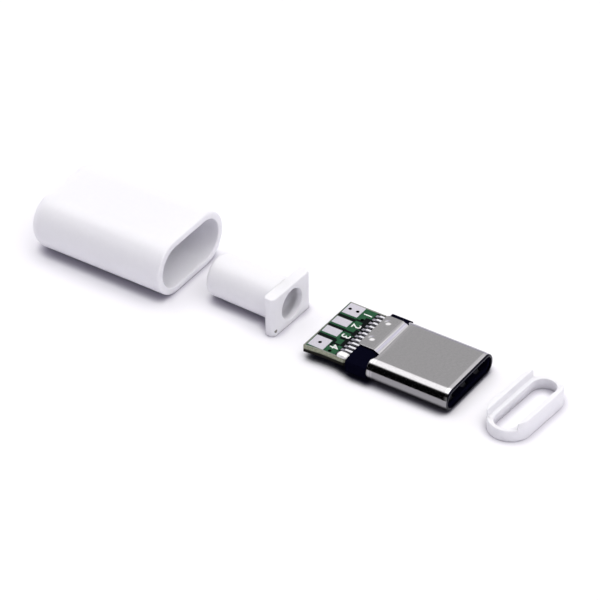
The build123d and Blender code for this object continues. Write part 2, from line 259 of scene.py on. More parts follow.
def table_finish():
    """Diffuse white, and a little white added for camera, mirror and glass rays. Both fade where something
    stands within SHADE_REACH, which keeps a narrow dark line under each piece. SHADE_ZONES say how dark it
    gets: darkest under the board, and palest under the front ring."""
    material = bpy.data.materials.new("table_white")
    material.use_nodes = True
    tree = material.node_tree
    tree.nodes.clear()
    open_sky = add(tree, "ShaderNodeAmbientOcclusion", Distance=SHADE_REACH)
    light = ramp(tree, open_sky.outputs["AO"], 0.35, 0.92)
    white = tree.nodes.new("ShaderNodeBsdfDiffuse")
    x = parts_of(tree, coordinates(tree))[0]
    shade = TABLE_SHADE
    for start, end, colour, deepened in SHADE_ZONES:
        start, end = plug_zero[0] + start, plug_zero[0] + end
        inside = product(tree, ramp(tree, x, start * MM, (start + 1) * MM),
                         ramp(tree, x, (end - 1) * MM, end * MM, 1.0, 0.0))
        shade = blend_colours(tree, inside, shade, colour)
        power = calc(tree, "ADD", calc(tree, "MULTIPLY", inside, deepened), 1.0)
        light = calc(tree, "POWER", light, power)
    tree.links.new(blend_colours(tree, light, shade, TABLE_WHITE), white.inputs["Color"])
    glow = add(tree, "ShaderNodeEmission", Color=(1.0, 1.0, 1.0, 1.0))
    tree.links.new(product(tree, seen_rays(tree), light, TABLE_GLOW), glow.inputs["Strength"])
    both = tree.nodes.new("ShaderNodeAddShader")
    tree.links.new(white.outputs[0], both.inputs[0])
    tree.links.new(glow.outputs[0], both.inputs[1])
    out = tree.nodes.new("ShaderNodeOutputMaterial")
    tree.links.new(both.outputs[0], out.inputs["Surface"])
    return material


def flat_stage(name, points, material):
    """One four-cornered sheet that belongs to the stage."""
    mesh = bpy.data.meshes.new(name)
    mesh.from_pydata(points, [], [(0, 1, 2, 3)])
    sheet = bpy.data.objects.new(name, mesh)
    bpy.context.scene.collection.objects.link(sheet)
    mesh.materials.append(material)
    print(name, "laid")


flat_stage("table", [(x * TABLE_HALF, y * TABLE_HALF, 0) for x, y in ((-1, -1), (1, -1), (1, 1), (-1, 1))],
           table_finish())

# %% [markdown]
# ## Finishes
# Each finish starts from a Principled shader. Fine noise on Object coordinates moves its colour and
# roughness a little, and a faint bump gives it grain, all at the scale of the real surface: a few
# hundredths of a millimetre for moulded plastic and rolled steel.

# %% Make a finish
def finish(name, first, second, grain_mm, rough, rough_swing, bump, metallic=0.0, stretch=(1, 1, 1),
           **constants):
    """Principled material: noise of grain_mm mixes two colours, moves roughness by rough_swing and bumps
    the surface. The constants are inputs of the shader, by name."""
    material = bpy.data.materials.new(name)
    material.use_nodes = True
    tree = material.node_tree
    shader = tree.nodes["Principled BSDF"]
    scale = tree.nodes.new("ShaderNodeMapping")
    scale.inputs["Scale"].default_value = tuple(s / (grain_mm * MM) for s in stretch)
    tree.links.new(coordinates(tree), scale.inputs["Vector"])
    noise = add(tree, "ShaderNodeTexNoise", Scale=1.0, Detail=3.0, Roughness=0.55)
    tree.links.new(scale.outputs[0], noise.inputs["Vector"])
    colour = blend_colours(tree, ramp(tree, noise.outputs["Fac"], 0.3, 0.7), first, second)
    tree.links.new(colour, shader.inputs["Base Color"])
    roughness = ramp(tree, noise.outputs["Fac"], 0.3, 0.7, rough - rough_swing, rough + rough_swing)
    tree.links.new(roughness, shader.inputs["Roughness"])
    relief = add(tree, "ShaderNodeBump", Strength=bump, Distance=0.1 * grain_mm * MM)
    tree.links.new(noise.outputs["Fac"], relief.inputs["Height"])
    tree.links.new(relief.outputs[0], shader.inputs["Normal"])
    shader.inputs["Metallic"].default_value = metallic
    for socket, value in constants.items():
        shader.inputs[socket.replace("_", " ")].default_value = value
    return material


white_gloss = finish("white_gloss", (0.87, 0.865, 0.90), (0.86, 0.855, 0.89), 0.4, 0.30, 0.02, 0.02,
                     Subsurface_Weight=0.4, Subsurface_Radius=(1.0, 1.0, 1.0), Subsurface_Scale=0.6 * MM)
black_moulding = finish("black_moulding", (0.002, 0.002, 0.007), (0.003, 0.003, 0.010), 0.12, 0.6, 0.1, 0.2,
                        Specular_IOR_Level=0.0)
drawn_steel = finish("drawn_steel", (0.38, 0.375, 0.385), (0.34, 0.335, 0.345), 0.08, 0.14, 0.02, 0.04,
                     metallic=1.0, stretch=(0.25, 1, 1))
# The springs lie inside the mouth; their steel is painted nearly black, as painted shade.
spring_steel = finish("spring_steel", (0.030, 0.030, 0.034), (0.022, 0.022, 0.026), 0.05, 0.4, 0.05, 0.1,
                      metallic=1.0)
wet_solder = finish("wet_solder", (0.92, 0.92, 0.92), (0.87, 0.87, 0.87), 0.2, 0.3, 0.06, 0.05,
                    metallic=0.25)
pad_tin = finish("pad_tin", (0.60, 0.58, 0.64), (0.52, 0.50, 0.56), 0.08, 0.6, 0.1, 0.3, metallic=0.1)
# The tail pads and their solder get a darker tin than the wire pads.
dark_tin = finish("dark_tin", (0.30, 0.29, 0.33), (0.22, 0.21, 0.25), 0.1, 0.6, 0.1, 0.3, metallic=0.1)
chip_black = finish("chip_black", (0.02, 0.02, 0.022), (0.03, 0.03, 0.032), 0.05, 0.35, 0.08, 0.2)

# %% [markdown]
# ## Painted light and marks on the steel
# One steel sheet gets several painted colours: a lighter band on the rolled-in nose, which is a painted
# highlight; painted shade, nearly black, on the cut front edge; painted darker reflections on the side
# roundings, with near-black painted shade on their lower half; and press streaks on the ramps, painted
# lighter partly as a highlight. Each is a colour that is blended over the finish, with a mask from the place
# along the plug or from the surface's direction.

# %% Paint shade and a highlight on the shell's front edge, and shade on its roundings
# Painted shade, nearly black, ahead of the first distance, and a painted highlight band between the last two.
FRONT_SHADE_FROM, FRONT_SHADE_SOFT, HIGHLIGHT_FROM, HIGHLIGHT_TO = 0.15, 0.02, 0.60, 0.40  # millimetres behind the nose


def base_colour(material):
    """A finish's tree, the input for its colour, and the socket that colours it now."""
    tree = material.node_tree
    socket = tree.nodes["Principled BSDF"].inputs["Base Color"]
    return tree, socket, socket.links[0].from_socket


def plug_x(millimetres):
    """Row metres of a place along the plug."""
    return (plug_zero[0] + millimetres) * MM


def dark_front(material):
    """The rolled nose gets a lighter band, a painted highlight, and the cut edge of the sheet ahead of it is
    painted nearly black as shade.
    """
    tree, socket, steel = base_colour(material)
    x = parts_of(tree, coordinates(tree))[0]
    # painted highlight: a lighter band on the nose
    highlight_band = ramp(tree, x, plug_x(-HIGHLIGHT_FROM), plug_x(-HIGHLIGHT_TO))
    steel = blend_colours(tree, highlight_band, steel, (0.54, 0.53, 0.55))
    # painted shade: the front edge is nearly black
    ahead = ramp(tree, x, plug_x(-FRONT_SHADE_FROM - FRONT_SHADE_SOFT), plug_x(-FRONT_SHADE_FROM + FRONT_SHADE_SOFT))
    tree.links.new(blend_colours(tree, ahead, steel, (0.012, 0.012, 0.02)), socket)


def shade_roundings(material):
    """The side roundings are painted a little darker than the flats, as a painted darker reflection, and their
    lower half is painted nearly black, a painted reflection of the shade beneath.
    """
    tree, socket, steel = base_colour(material)
    shape = tree.nodes.new("ShaderNodeNewGeometry")
    _, across, up = parts_of(tree, shape.outputs["True Normal"])
    aside = calc(tree, "ABSOLUTE", across)
    # painted reflection: the side roundings are darker
    steel = blend_colours(tree, ramp(tree, aside, 0.6, 0.9), steel, (0.27, 0.265, 0.275))
    # painted shade: the lower half of each rounding is nearly black
    down = product(tree, ramp(tree, up, -0.45, -0.08, 1.0, 0.0), ramp(tree, aside, 0.2, 0.4))
    tree.links.new(blend_colours(tree, down, steel, (0.012, 0.012, 0.016)), socket)


dark_front(drawn_steel)
shade_roundings(drawn_steel)

# %% Streak the ramps: press marks, lighter in part as a painted highlight
STREAKS_FROM, STREAKS_TO, STREAKS_SOFT = -9.7, -8.2, 0.3  # plug millimetres
STREAK_APART, STREAK_LONG = 0.14, 12.0


def streak_ramps(material):
    """Pressing leaves marks on the two ramps; they are painted lighter, partly as the marks and partly as a
    painted highlight where the ramps catch the light. The noise is long across the plug and short along it.
    """
    tree, socket, steel = base_colour(material)
    place = coordinates(tree)
    scale = tree.nodes.new("ShaderNodeMapping")
    scale.inputs["Scale"].default_value = (1 / (STREAK_APART * MM), 1 / (STREAK_LONG * MM), 0)
    tree.links.new(place, scale.inputs["Vector"])
    marks = add(tree, "ShaderNodeTexNoise", Scale=1.0, Detail=2.0)
    tree.links.new(scale.outputs[0], marks.inputs["Vector"])
    x = parts_of(tree, place)[0]
    begun = ramp(tree, x, plug_x(STREAKS_FROM - STREAKS_SOFT), plug_x(STREAKS_FROM + STREAKS_SOFT))
    going_on = ramp(tree, x, plug_x(STREAKS_TO - STREAKS_SOFT), plug_x(STREAKS_TO + STREAKS_SOFT), 1.0, 0.0)
    # painted highlight in part: the streaks are lighter than the steel
    streak_highlight = product(tree, ramp(tree, marks.outputs["Fac"], 0.40, 0.65), begun, going_on)
    tree.links.new(blend_colours(tree, streak_highlight, steel, (0.47, 0.46, 0.48)), socket)


streak_ramps(drawn_steel)

# %% [markdown]
# ## Contacts: gold in the mouth, tin at the tails
# Only the sprung end of a contact touches the socket, so only that end is gold. The tails are
# tinned so that they solder well. One material does both, by the place along the plug.

# %% Plate the contacts
GOLD_FROM, GOLD_SOFT, GOLD = -7.5, 0.4, (0.95, 0.66, 0.25)


def contact_finish():
    """Gold ahead of GOLD_FROM in plug millimetres, and tin behind it."""
    material = finish("contact_plating", (0.80, 0.80, 0.84), (0.72, 0.72, 0.76), 0.08, 0.3, 0.06, 0.2,
                      metallic=0.7)
    tree, socket, tin = base_colour(material)
    x = parts_of(tree, coordinates(tree))[0]
    forward = ramp(tree, x, plug_x(GOLD_FROM - GOLD_SOFT), plug_x(GOLD_FROM + GOLD_SOFT))
    tree.links.new(blend_colours(tree, forward, tin, GOLD), socket)
    return material


plated = contact_finish()

# %% [markdown]
# ## The board
# A board is glass fibre with copper islands under a green mask. Where copper lies under the mask
# it looks light green, and in the moats between islands it looks nearly black; the strip round the tails
# is nearly black as well, partly mask and partly painted shade. The cut edge shows the pale fibre, with
# painted shade on its lower half. All of this is one material: boxes on Object coordinates say where the
# moats and the strip are, and the surface's direction says which faces are the cut edge.

# %% Paint the board
def box_mask(tree, x, y, centre, half, soft):
    """1 inside a box on the board and 0 outside: the larger of the two distances past its sides decides."""
    dx = calc(tree, "SUBTRACT", calc(tree, "ABSOLUTE", calc(tree, "SUBTRACT", x, centre[0])), half[0])
    dy = calc(tree, "SUBTRACT", calc(tree, "ABSOLUTE", calc(tree, "SUBTRACT", y, centre[1])), half[1])
    return ramp(tree, calc(tree, "MAXIMUM", dx, dy), -soft, soft, 1.0, 0.0)


# The last box, the strip round the tails, is nearly black partly as mask and partly as painted shade between
# the tails.
MOATS_AND_SHADE = [  # x from, x to, y from, y to in plug millimetres
    (-15.9, -13.75, 1.42, 1.84), (-15.9, -13.75, -0.36, 0.08), (-15.9, -13.75, -2.03, -1.58),
    (-13.85, -12.55, 1.70, 1.95), (-13.15, -12.92, 1.72, 2.55), (-12.98, -12.56, 0.62, 2.6),
    (-13.9, -12.9, -0.28, 0.0), (-12.98, -12.56, -0.5, 0.55), (-13.6, -12.55, -1.42, -1.1),
    (-12.98, -12.56, -2.35, -0.6), (-13.85, -13.58, -2.9, -1.72), (-13.6, -13.0, -2.46, -2.18),
    (-12.60, -11.1, -3.9, 3.9)]
SOFT = 0.03  # half the width of a moat's and the rim's edge


def moat_mask(tree, x, y):
    """1 in any of the moats, and in the strip round the tails, which is partly painted shade."""
    dark_area = None
    for x0, x1, y0, y1 in MOATS_AND_SHADE:
        one = box_mask(tree, x, y, ((x0 + x1) / 2, (y0 + y1) / 2), ((x1 - x0) / 2, (y1 - y0) / 2), SOFT)
        dark_area = one if dark_area is None else calc(tree, "MAXIMUM", dark_area, one)
    return dark_area


# %% Bare the board's rim
BARE_RIM = 0.15  # millimetres of bare laminate along the rear, far and near edges
BROKEN_LONG, BROKEN_OUT = 1.9, 0.2  # the near rear corner stands proud, in millimetres


def rim_mask(tree, x, y):
    """1 within BARE_RIM of the rear, far or near edge."""
    rear, near = float(board_low[0] - plug_zero[0]), float(board_low[1] - plug_zero[1])
    to_rear = calc(tree, "SUBTRACT", x, rear)
    to_far = calc(tree, "SUBTRACT", float(board_high[1] - plug_zero[1]), y)
    to_near = calc(tree, "SUBTRACT", y, ramp(tree, x, rear, rear + BROKEN_LONG, near, near + BROKEN_OUT))
    to_side = calc(tree, "MINIMUM", calc(tree, "MINIMUM", to_rear, to_far), to_near)
    return ramp(tree, to_side, BARE_RIM - SOFT, BARE_RIM + SOFT, 1.0, 0.0)


# %% Finish the board
HOLES_WITHIN_Y, HOLES_FROM_X, HOLES_TO_X = 3.6, -15.6, -11.6  # plug millimetres


def cut_edge(tree, place, x, y, height):
    """Pale fibre, painted dark in the lower half of the board as shade. In the holes, which stand in from the
    sides, it is painted nearly black as shade."""
    fibre = add(tree, "ShaderNodeTexNoise", Scale=1.0 / (0.12 * MM), Detail=4.0)
    tree.links.new(place, fibre.inputs["Vector"])
    cut = blend_colours(tree, ramp(tree, fibre.outputs["Fac"], 0.35, 0.65), (0.26, 0.28, 0.20),
                        (0.42, 0.43, 0.33))
    side = calc(tree, "MAXIMUM", calc(tree, "SUBTRACT", calc(tree, "ABSOLUTE", y), HOLES_WITHIN_Y),
                calc(tree, "MAXIMUM", calc(tree, "SUBTRACT", HOLES_FROM_X, x),
                     calc(tree, "SUBTRACT", x, HOLES_TO_X)))
    middle = board_low[2] + 0.5 * (board_high[2] - board_low[2])
    # painted shade: the lower half of the edge is dark
    painted_shade_low = ramp(tree, height, (middle - 0.12) * MM, (middle + 0.08) * MM, 1.0, 0.0)
    cut = blend_colours(tree, painted_shade_low, cut, (0.012, 0.012, 0.010))
    # painted shade: the walls of the holes are nearly black
    return blend_colours(tree, ramp(tree, side, -0.05, 0.05), (0.004, 0.004, 0.004), cut)


def board_finish():
    """Green mask, nearly black in the moats and in the strip round the tails, which is partly painted shade,
    with a bare rim and pale fibre at the cut edge, whose lower half is painted shade.
    """
    material = finish("board_green", (0.027, 0.100, 0.048), (0.020, 0.080, 0.038), 0.25, 0.4, 0.05, 0.1,
                      Specular_IOR_Level=0.03)
    tree, socket, mask_green = base_colour(material)
    place = coordinates(tree)
    row_x, row_y, height = parts_of(tree, place)
    x = calc(tree, "SUBTRACT", calc(tree, "DIVIDE", row_x, MM), float(plug_zero[0]))
    y = calc(tree, "SUBTRACT", calc(tree, "DIVIDE", row_y, MM), float(plug_zero[1]))
    # nearly black in the moats; in the strip round the tails this is partly painted shade
    top = blend_colours(tree, moat_mask(tree, x, y), mask_green, (0.001, 0.003, 0.003))
    top = blend_colours(tree, rim_mask(tree, x, y), top, (0.25, 0.26, 0.23))
    shape = tree.nodes.new("ShaderNodeNewGeometry")
    up = parts_of(tree, shape.outputs["True Normal"])[2]
    edge = ramp(tree, calc(tree, "ABSOLUTE", up), 0.4, 0.6, 1.0, 0.0)
    tree.links.new(blend_colours(tree, edge, top, cut_edge(tree, place, x, y, height)), socket)
    return material


masked_board = board_finish()

# %% Dress the CAD nodes that stay
def dress(material, *nodes):
    """The material goes into every slot of these CAD nodes."""
    for name in nodes:
        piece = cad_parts[name]
        if not piece.material_slots:
            piece.data.materials.append(material)
        for place in piece.material_slots:
            place.material = material


dress(black_moulding, "front_insulator", "rear_holder", "top_contact_carrier", "bottom_contact_carrier")
dress(spring_steel, "latch_spring", "shield_spring_top", "shield_spring_bottom")
dress(plated, *["contact_" + row + str(i) for row in "ab" for i in range(1, 13)])
dress(masked_board, "circuit_board")
dress(pad_tin, "wire_pad_1", "wire_pad_2", "wire_pad_3", "wire_pad_4", "resistor_pads")
dress(dark_tin, "tail_pads_top", "tail_pads_bottom", "tail_solder_top", "tail_solder_bottom")
dress(chip_black, "chip_resistor")

# %% [markdown]
# ## Smooth surfaces from rings
# Sleeve, relief, shell and ring are all closed rings carried along an axis. A ring is a small box
# swelled by a radius: with a box of no height it is an oval, and with a small radius a rounded
# rectangle. Every ring has the same number of points, so rows of rings join into one clean skin.

# %% Build rings and skins
def ring_terms(arc, flat_y, flat_z, extra=()):
    """Rows of (side of core in Y, side in Z, cosine, sine) round a ring: four arcs of arc points with flat_y
    points between the two upper and the two lower ones, and flat_z at the left and right (None: the arcs
    meet). extra adds points to each arc, as parts of its quarter turn from the Y axis."""
    quarters = []
    steps = np.sort(np.append(np.linspace(0, 1, arc), extra))
    for turn, (side_y, side_z) in enumerate([(1, 1), (-1, 1), (-1, -1), (1, -1)]):
        angle = (turn + (1 - steps[::-1] if turn in (1, 3) else steps)) * math.pi / 2
        if flat_z is None and turn in (1, 3):
            angle = angle[:-1]
        quarters.append(np.column_stack([np.full(len(angle), side_y), np.full(len(angle), side_z),
                                         np.cos(angle), np.sin(angle)]))
        count = flat_y if turn in (0, 2) else (flat_z or 0)
        t = np.linspace(0, 1, count + 2)[1:-1]
        corner = np.array([side_y, side_z], float)
        beyond = corner * ([-1, 1] if turn in (0, 2) else [1, -1])
        line = corner + (beyond - corner) * t[:, None]
        facing = (turn + 1) * math.pi / 2
        face = np.tile([math.cos(facing), math.sin(facing)], (count, 1))
        quarters.append(np.column_stack([line, face]))
    return np.vstack(quarters)


def ring_rows(terms, rows):
    """Grid of points. Each row is (x, core_y, core_z, radius), and a point is side * core + radius *
    (cosine, sine)."""
    rows = np.asarray(rows, float)
    y = rows[:, 1, None] * terms[:, 0] + rows[:, 3, None] * terms[:, 2]
    z = rows[:, 2, None] * terms[:, 1] + rows[:, 3, None] * terms[:, 3]
    return np.stack([np.repeat(rows[:, :1], terms.shape[0], axis=1), y, z], axis=-1)


def arc_pairs(centre_x, centre_r, radius, start, end, count):
    """(x, r) points on a profile arc; angles in degrees, 0 along +x and 90 along +r."""
    angle = np.radians(np.linspace(start, end, count))
    return [(centre_x + radius * c, centre_r + radius * s) for c, s in zip(np.cos(angle), np.sin(angle))]


def skin(name, grids, body="root"):
    """One mesh piece from grids of (rows, columns, 3) points in millimetres, each closed round its columns.
    Each grid comes with True if its last row joins its first, or False for flat caps. Faces are turned
    outwards by the sign of the volume that they close."""
    points, faces, base = [], [], 0
    for grid, joined in grids:
        rows, columns = grid.shape[:2]
        ids = np.arange(rows * columns).reshape(rows, columns)
        ids = np.hstack([ids, ids[:, :1]])
        if joined:
            ids = np.vstack([ids, ids[:1]])
        quads = np.stack([ids[:-1, :-1], ids[:-1, 1:], ids[1:, 1:], ids[1:, :-1]], axis=-1)
        quads = quads.reshape(-1, 4)
        flat = grid.reshape(-1, 3)
        caps = [] if joined else [ids[0, :-1][::-1], ids[-1, :-1]]
        a, b, c, d = (flat[quads[:, i]] for i in range(4))
        volume = np.sum(a * np.cross(b, c)) + np.sum(a * np.cross(c, d))
        for cap in caps:
            fan = flat[cap]
            volume += np.sum(fan[:1] * np.cross(fan[1:-1], fan[2:]))
        step = 1 if volume > 0 else -1
        faces += [tuple(q) for q in (quads[:, ::step] + base).tolist()]
        faces += [tuple((cap[::step] + base).tolist()) for cap in caps]
        points.append(flat)
        base += len(flat)
    mesh = bpy.data.meshes.new(name)
    mesh.from_pydata((np.vstack(points) * MM).tolist(), [], faces)
    mesh.update()
    mesh.polygons.foreach_set("use_smooth", np.ones(len(mesh.polygons), bool))
    piece = bpy.data.objects.new(name, mesh)
    bpy.context.scene.collection.objects.link(piece)
    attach(piece, body)
    print(name, len(mesh.polygons), "faces")
    return piece


def sharpen(piece, degrees):
    """Edges whose faces meet at more than this angle stay crisp."""
    piece.data.set_sharp_from_angle(angle=math.radians(degrees))


# %% [markdown]
# ## The sleeve
# The sleeve is an oval tube with a soft mouth edge and a well rounded rear end, whose wall has a
# round hole for the strain relief. The profile runs along the bore, over the mouth, back along the
# outside and over the rear rounding. The last rows pass from the oval to the round hole.

# %% Shape the sleeve
SLEEVE_WALL, SLEEVE_BACK, BACK_ROUND, HOLE = 0.76, 1.2, 1.3, 2.3
LIP_IN, LIP_OUT, HOLE_EDGE = 0.12, 0.2, 0.1
BACK_STOP = 144.5  # degrees round the rear rounding where the way straight to the hole begins
sleeve_r = (sleeve_high[2] - sleeve_low[2]) / 2
sleeve_core = (sleeve_high[1] - sleeve_low[1]) / 2 - sleeve_r
sleeve_rear, sleeve_front = sleeve_low[0], sleeve_high[0]


def sleeve_skin():
    """Rings along the sleeve's profile. At the rear wall each point moves straight from the oval to the
    hole, and the rounding's depth follows from how far it has come."""
    terms = ring_terms(24, 24, None)
    bore_r = sleeve_r - SLEEVE_WALL
    floor_x = sleeve_rear + SLEEVE_BACK
    bore_x = np.linspace(floor_x + 0.1, sleeve_front - LIP_IN, 12)[:-1]
    outer_x = np.linspace(sleeve_front - LIP_OUT, sleeve_rear + BACK_ROUND, 14)[1:-1]
    profile = [(floor_x, bore_r)] + [(x, bore_r) for x in bore_x]
    profile += arc_pairs(sleeve_front - LIP_IN, bore_r + LIP_IN, LIP_IN, 270, 360, 7)
    profile += arc_pairs(sleeve_front - LIP_OUT, sleeve_r - LIP_OUT, LIP_OUT, 0, 90, 8)
    profile += [(x, sleeve_r) for x in outer_x]
    rows = ring_rows(terms, [(x, sleeve_core, 0, r) for x, r in profile])
    back = arc_pairs(sleeve_rear + BACK_ROUND, sleeve_r - BACK_ROUND, BACK_ROUND, 90, BACK_STOP, 10)
    back_rows = ring_rows(terms, [(x, sleeve_core, 0, r) for x, r in back])
    start = back_rows[-1]
    aim = start[:, 1:] / np.linalg.norm(start[:, 1:], axis=1, keepdims=True)
    t = np.linspace(0, 1, 22)[1:, None, None]
    wall = (1 - t) * start[None, :, 1:] + t * (HOLE + HOLE_EDGE) * aim[None]
    beyond = np.maximum(np.abs(wall[..., 0]) - sleeve_core, 0)
    inset = sleeve_r - np.hypot(beyond, wall[..., 1])
    depth = BACK_ROUND - np.sqrt(BACK_ROUND ** 2 - np.clip(BACK_ROUND - inset, 0, BACK_ROUND) ** 2)
    wall = np.concatenate([(sleeve_rear + depth)[..., None], wall], axis=-1)
    rim = [np.column_stack([wall[-1][:, 0] + HOLE_EDGE * (1 - math.cos(a)),
                            aim * (HOLE + HOLE_EDGE * (1 - math.sin(a)))])
           for a in np.radians([30, 60, 90])]
    inner = np.column_stack([np.full(len(aim), floor_x), aim * HOLE])
    grid = np.concatenate([rows, back_rows, wall, np.array(rim), inner[None]])
    grid[..., 2] += sleeve_r
    return grid


sleeve = skin("sleeve_skin", [(sleeve_skin(), True)])
sharpen(sleeve, 50)
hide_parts("sleeve")
sleeve.data.materials.append(white_gloss)

# %% [markdown]
# ## The strain relief
# A round tube with a flat flange on its front: the flange can't pass the sleeve's hole, so it stops
# the cable from being pulled out. The tube is a profile carried round a circle, and the flange is a
# rounded rectangle that is carried forward and then passes to the round bore. The piece lies a
# little askew on the table, so the grid is turned before it goes into the mesh.

# %% Shape the strain relief
RELIEF_TURN, RELIEF_ASIDE = math.radians(-1.55), 0.07
RELIEF_LONG, BORE, END_ROUND, BORE_EDGE, NECK = 8.8, 1.6, 0.6, 0.1, 0.12
FLANGE_HALF, FLANGE_THICK, FLANGE_CUT, SOFT_EDGE = 3.05, 1.2, 0.3, 0.1
relief_r = (relief_high[2] - relief_low[2]) / 2


def turned(grid, angle, place):
    """Grid turned about Z by angle and moved to place."""
    c, s = math.cos(angle), math.sin(angle)
    out = grid.copy()
    out[..., 0] = c * grid[..., 0] - s * grid[..., 1]
    out[..., 1] = s * grid[..., 0] + c * grid[..., 1]
    return out + np.asarray(place, float)


def relief_tube():
    """Rings of a round tube from inside the flange to its rear rounding, then back along the bore. Inside
    the flange the tube is NECK narrower, so that the flange's faces cover it."""
    angle = np.linspace(0, 2 * math.pi, 96, endpoint=False)
    terms = np.column_stack([np.zeros((96, 2)), np.cos(angle), np.sin(angle)])
    profile = [(-0.6, relief_r - NECK), (-1.1, relief_r - NECK), (-1.19, relief_r), (-3.0, relief_r),
               (-5.5, relief_r)]
    profile += arc_pairs(-RELIEF_LONG + END_ROUND, relief_r - END_ROUND, END_ROUND, 90, 180, 12)
    profile += arc_pairs(-RELIEF_LONG + BORE_EDGE, BORE + BORE_EDGE, BORE_EDGE, 180, 270, 5)
    profile += [(x, BORE) for x in (-6.0, -4.0, -2.0, -0.6)]
    return ring_rows(terms, [(x, 0, 0, r) for x, r in profile])


def relief_flange():
    """Rounded rectangle rings: back face, sides with cut corners, front face, then in to the bore."""
    terms = ring_terms(5, 16, 12)
    e, cut, back = SOFT_EDGE, FLANGE_CUT, -FLANGE_THICK
    insets = [(back, cut + 0.05, e), (back + 0.02, cut, 0.5 * e), (back + e, cut - e, 0),
              (back + cut - 0.03, 0.03, 0), (back + cut + 0.03, 0, 0), (-cut - 0.03, 0, 0),
              (-cut + 0.03, 0.03, 0), (-e, cut - e, 0), (-0.03, cut - 0.02, 0.03), (0, cut + 0.05, e)]
    grid = ring_rows(terms, [(x, FLANGE_HALF - in_y - e, relief_r - in_z - e, e) for x, in_y, in_z in insets])
    angle = np.arctan2(grid[-1][:, 2], grid[-1][:, 1])
    circle = np.column_stack([np.cos(angle), np.sin(angle)])
    front = grid[-1][:, 1:]
    t = np.linspace(0, 1, 8)[1:, None, None]
    face = (1 - t) * front[None] + t * (BORE + 0.08) * circle[None]
    face = np.concatenate([np.zeros(face.shape[:2] + (1,)), face], axis=-1)
    bore = [np.column_stack([np.full(len(circle), x), circle * r])
            for x, r in ((-0.03, BORE + 0.02), (-0.08, BORE), (-FLANGE_THICK, BORE))]
    return np.concatenate([grid, face, np.array(bore)])


relief_zero = np.array([relief_high[0] - (FLANGE_HALF - FLANGE_CUT) * abs(math.sin(RELIEF_TURN)),
                        plug_zero[1] - RELIEF_ASIDE, relief_r])
relief = skin("relief_skin", [(turned(relief_tube(), RELIEF_TURN, relief_zero), True),
                              (turned(relief_flange(), RELIEF_TURN, relief_zero), True)])
sharpen(relief, 50)
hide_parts("strain_relief")

# %% Mark the flange's corner, with painted shade in the gate's nick
GATE, GATE_HEIGHT, GATE_RADIUS = (-19.93, -2.73), 0.6, 0.24  # plug millimetres, and height over the table


def gate_mark(material):
    """Copy of a material with the small rough mark that the moulding gate leaves, painted dark as the shade in
    its nick.
    """
    marked = material.copy()
    tree, socket, plastic = base_colour(marked)
    away = tree.nodes.new("ShaderNodeVectorMath")
    away.operation = "DISTANCE"
    away.inputs[1].default_value = (plug_x(GATE[0]), (plug_zero[1] + GATE[1]) * MM, GATE_HEIGHT * MM)
    tree.links.new(coordinates(tree), away.inputs[0])
    # painted shade: the nick is dark
    nick_shade = ramp(tree, away.outputs["Value"], 0.5 * GATE_RADIUS * MM, GATE_RADIUS * MM, 1.0, 0.0)
    tree.links.new(blend_colours(tree, nick_shade, plastic, (0.16, 0.15, 0.13)), socket)
    return marked


relief.data.materials.append(gate_mark(white_gloss))

# %% [markdown]
# ## The front ring
# The ring closes the sleeve's mouth round the plug. It is an oval plate with a slot, and a low rib
# along each long side that grips inside the sleeve. The plate is a ring of rings again, laid flat:
# its axis is Z. The ribs are part of the same skin: there the rim of each ring is higher.

# %% Shape the front ring
RING_TURN = math.radians(-3.8)
RING_LONG, RING_WIDE, RING_THICK, RING_ROUND = 9.14, 4.45, 1.3, 0.12
RIB_HIGH, RIB_WALL, RIB_HALF = 0.78, 0.52, 3.7
SLOT_LONG, SLOT_WIDE, SLOT_STEP, SLOT_LIP, SLOT_ROUND = 8.35, 2.5, 0.1, 0.45, 0.08
RIB_END = math.acos((RIB_HALF - (RING_LONG - RING_WIDE) / 2) / (RING_WIDE / 2)) / (math.pi / 2)


def lay_flat(grid):
    """A ring built about X becomes one about Z: X goes up, and Y stays across."""
    return np.stack([-grid[..., 2], grid[..., 1], grid[..., 0]], axis=-1)


